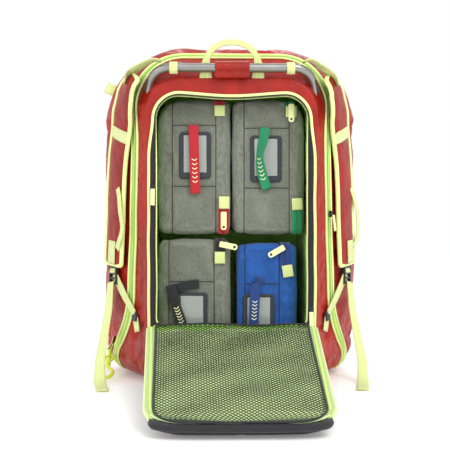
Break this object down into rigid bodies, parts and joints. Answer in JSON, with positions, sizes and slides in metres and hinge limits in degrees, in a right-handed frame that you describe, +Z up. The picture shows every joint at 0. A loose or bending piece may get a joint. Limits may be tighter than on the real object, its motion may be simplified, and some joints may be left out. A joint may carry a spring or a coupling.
{
  "type": "trauma backpack",
  "caption": "Flared first responder backpack standing open, with fold-down door, tubular carry frame, shoulder straps and removable module pouches.",
  "frame": {"origin": "centre of the flat base, on the surface the pack stands on", "axes": "+Z up, harness side and open door towards -Y, rear pocket towards +Y, +X to the right seen from the harness side"},
  "size_m": [0.4878, 0.6801, 0.6075],
  "materials": {
    "coated_red": "gloss",
    "lining": "matte",
    "hi_vis_webbing": "matte",
    "black_tape": "matte",
    "black_padding": "matte",
    "net": "matte",
    "grey_cloth": "matte",
    "blue_cloth": "matte",
    "red_webbing": "matte",
    "green_webbing": "matte",
    "black_webbing": "matte",
    "blue_webbing": "matte",
    "clear_window": "gloss",
    "tube_metal": "satin",
    "black_plastic": "satin",
    "yellow_plastic": "gloss",
    "ring_metal": "gloss",
    "slider_metal": "satin"
  },
  "bodies": {
    "pack": {"opening_rim": "coated_red", "lower_front_panel": "coated_red", "side_panel_left": "coated_red", "side_panel_right": "coated_red", "top_panel": "coated_red", "base_panel": "coated_red", "rear_panel": "coated_red", "compartment_liner": "lining", "divider_wall_left": "lining", "divider_wall_right": "lining", "opening_piping": "hi_vis_webbing", "opening_zip_tape": "black_tape", "expansion_zip_band": "hi_vis_webbing", "carry_frame_tube": "tube_metal", "bar_sleeve": "coated_red", "bar_loop_left": "hi_vis_webbing", "bar_loop_right": "hi_vis_webbing", "strap_anchor_left": "black_webbing", "strap_anchor_right": "black_webbing", "rear_pocket": "coated_red", "rear_pocket_zip": "hi_vis_webbing"},
    "door": {"door_panel": "black_padding", "door_back_pad": "black_padding", "door_mesh_pocket": "net", "door_zip_tape": "hi_vis_webbing"},
    "carry_handle": {"carry_handle": "hi_vis_webbing"},
    "strap_left": {"shoulder_pad_left": "coated_red", "ladder_lock_left": "black_plastic", "adjuster_webbing_left": "hi_vis_webbing"},
    "strap_tail_left": {"strap_tail_left": "hi_vis_webbing"},
    "strap_right": {"shoulder_pad_right": "coated_red", "ladder_lock_right": "black_plastic", "adjuster_webbing_right": "hi_vis_webbing"},
    "strap_tail_right": {"strap_tail_right": "hi_vis_webbing"},
    "gear_ring": {"gear_ring": "ring_metal"},
    "gear_hook": {"gear_hook": "yellow_plastic"},
    "module_upper_left": {"module_upper_left_pouch": "grey_cloth", "module_upper_left_window": "clear_window"},
    "module_upper_left_handle": {"module_upper_left_handle": "red_webbing"},
    "module_upper_left_slider": {"module_upper_left_slider": "slider_metal"},
    "module_upper_left_puller": {"module_upper_left_puller": "hi_vis_webbing"},
    "module_upper_right": {"module_upper_right_pouch": "grey_cloth", "module_upper_right_window": "clear_window"},
    "module_upper_right_handle": {"module_upper_right_handle": "green_webbing"},
    "module_upper_right_slider": {"module_upper_right_slider": "slider_metal"},
    "module_upper_right_puller": {"module_upper_right_puller": "hi_vis_webbing"},
    "module_lower_left": {"module_lower_left_pouch": "grey_cloth", "module_lower_left_window": "clear_window"},
    "module_lower_left_handle": {"module_lower_left_handle": "black_webbing"},
    "module_lower_left_slider": {"module_lower_left_slider": "slider_metal"},
    "module_lower_left_puller": {"module_lower_left_puller": "hi_vis_webbing"},
    "module_lower_right": {"module_lower_right_pouch": "blue_cloth", "module_lower_right_window": "clear_window"},
    "module_lower_right_handle": {"module_lower_right_handle": "blue_webbing"},
    "module_lower_right_slider": {"module_lower_right_slider": "slider_metal"},
    "module_lower_right_puller": {"module_lower_right_puller": "hi_vis_webbing"},
    "main_slider_left": {"main_slider_left": "slider_metal"},
    "main_slider_right": {"main_slider_right": "slider_metal"},
    "expansion_slider": {"expansion_slider": "slider_metal"},
    "rear_slider": {"rear_slider": "slider_metal"}
  },
  "joints": [
    {"name": "door_hinge", "type": "hinge", "parent": "pack", "child": "door", "pos_m": [0, -0.1225, 0.101], "axis": [-1, 0, 0], "range_deg": [0, 101.6]},
    {"name": "carry_handle_hinge", "type": "hinge", "parent": "pack", "child": "carry_handle", "pos_m": [0, -0.113, 0.548], "axis": [1, 0, 0], "range_deg": [-40, 0]},
    {"name": "strap_swing_left", "type": "hinge", "parent": "pack", "child": "strap_left", "pos_m": [-0.147, -0.123, 0.556], "axis": [0.0747, -0.0837, 0.9937], "range_deg": [0, 85]},
    {"name": "tail_swing_left", "type": "hinge", "parent": "strap_left", "child": "strap_tail_left", "pos_m": [-0.2215, -0.04, 0.174], "axis": [0, 1, 0], "range_deg": [0, 35]},
    {"name": "strap_swing_right", "type": "hinge", "parent": "pack", "child": "strap_right", "pos_m": [0.147, -0.123, 0.556], "axis": [0.0747, 0.0837, -0.9937], "range_deg": [0, 85]},
    {"name": "tail_swing_right", "type": "hinge", "parent": "strap_right", "child": "strap_tail_right", "pos_m": [0.2215, -0.04, 0.174], "axis": [0, -1, 0], "range_deg": [0, 35]},
    {"name": "gear_ring_swing", "type": "hinge", "parent": "pack", "child": "gear_ring", "pos_m": [-0.2256, -0.001, 0.049], "axis": [0, 1, 0], "range_deg": [0, 60]},
    {"name": "gear_hook_swing", "type": "hinge", "parent": "gear_ring", "child": "gear_hook", "pos_m": [-0.2258, -0.001, 0.038], "axis": [-1, 0, 0], "range_deg": [0, 45]},
    {"name": "module_upper_left_pull_out", "type": "slide", "parent": "pack", "child": "module_upper_left", "axis": [0, 1, 0], "range_m": [-0.16, 0]},
    {"name": "module_upper_left_handle_lift", "type": "hinge", "parent": "module_upper_left", "child": "module_upper_left_handle", "pos_m": [-0.069, -0.0866, 0.457], "axis": [1, 0, 0], "range_deg": [-120, 0]},
    {"name": "module_upper_left_zip", "type": "slide", "parent": "module_upper_left", "child": "module_upper_left_slider", "axis": [0, 0, 1], "range_m": [-0.01, 0]},
    {"name": "module_upper_left_puller_flip", "type": "hinge", "parent": "module_upper_left_slider", "child": "module_upper_left_puller", "pos_m": [-0.014, -0.0878, 0.302], "axis": [1, 0, 0], "range_deg": [-110, 0]},
    {"name": "module_upper_right_pull_out", "type": "slide", "parent": "pack", "child": "module_upper_right", "axis": [0, 1, 0], "range_m": [-0.16, 0]},
    {"name": "module_upper_right_handle_lift", "type": "hinge", "parent": "module_upper_right", "child": "module_upper_right_handle", "pos_m": [0.058, -0.0866, 0.451], "axis": [1, 0, 0], "range_deg": [-120, 0]},
    {"name": "module_upper_right_zip", "type": "slide", "parent": "module_upper_right", "child": "module_upper_right_slider", "axis": [0, 0, 1], "range_m": [-0.01, 0]},
    {"name": "module_upper_right_puller_flip", "type": "hinge", "parent": "module_upper_right_slider", "child": "module_upper_right_puller", "pos_m": [0.107, -0.0878, 0.495], "axis": [1, 0, 0], "range_deg": [-90, 0]},
    {"name": "module_lower_left_tip_forward", "type": "hinge", "parent": "pack", "child": "module_lower_left", "pos_m": [0, -0.08, 0.013], "axis": [-1, 0, 0], "range_deg": [-9, 0]},
    {"name": "module_lower_left_handle_lift", "type": "hinge", "parent": "module_lower_left", "child": "module_lower_left_handle", "pos_m": [-0.086, -0.0866, 0.176], "axis": [1, 0, 0], "range_deg": [-120, 0]},
    {"name": "module_lower_left_zip", "type": "slide", "parent": "module_lower_left", "child": "module_lower_left_slider", "axis": [0, 0, 1], "range_m": [-0.012, 0]},
    {"name": "module_lower_left_puller_flip", "type": "hinge", "parent": "module_lower_left_slider", "child": "module_lower_left_puller", "pos_m": [-0.02, -0.0878, 0.246], "axis": [0.2079, 0, 0.9781], "range_deg": [-110, 0]},
    {"name": "module_lower_right_tip_forward", "type": "hinge", "parent": "pack", "child": "module_lower_right", "pos_m": [0, -0.08, 0.013], "axis": [-1, 0, 0], "range_deg": [-9, 0]},
    {"name": "module_lower_right_handle_lift", "type": "hinge", "parent": "module_lower_right", "child": "module_lower_right_handle", "pos_m": [0.04, -0.0866, 0.173], "axis": [1, 0, 0], "range_deg": [-120, 0]},
    {"name": "module_lower_right_zip", "type": "slide", "parent": "module_lower_right", "child": "module_lower_right_slider", "axis": [0, 0, 1], "range_m": [-0.012, 0]},
    {"name": "module_lower_right_puller_flip", "type": "hinge", "parent": "module_lower_right_slider", "child": "module_lower_right_puller", "pos_m": [0.093, -0.0878, 0.24], "axis": [0.5, 0, -0.866], "range_deg": [-110, 0]},
    {"name": "main_zip_left", "type": "slide", "parent": "pack", "child": "main_slider_left", "axis": [0, 0, 1], "range_m": [-0.225, 0.1]},
    {"name": "main_zip_right", "type": "slide", "parent": "pack", "child": "main_slider_right", "axis": [0, 0, 1], "range_m": [-0.012, 0.32]},
    {"name": "expansion_zip", "type": "slide", "parent": "pack", "child": "expansion_slider", "axis": [-0.018, -0.033, 0.9993], "range_m": [0, 0.1]},
    {"name": "rear_zip", "type": "slide", "parent": "pack", "child": "rear_slider", "axis": [1, 0, 0], "range_m": [0, 0.19]}
  ]
}
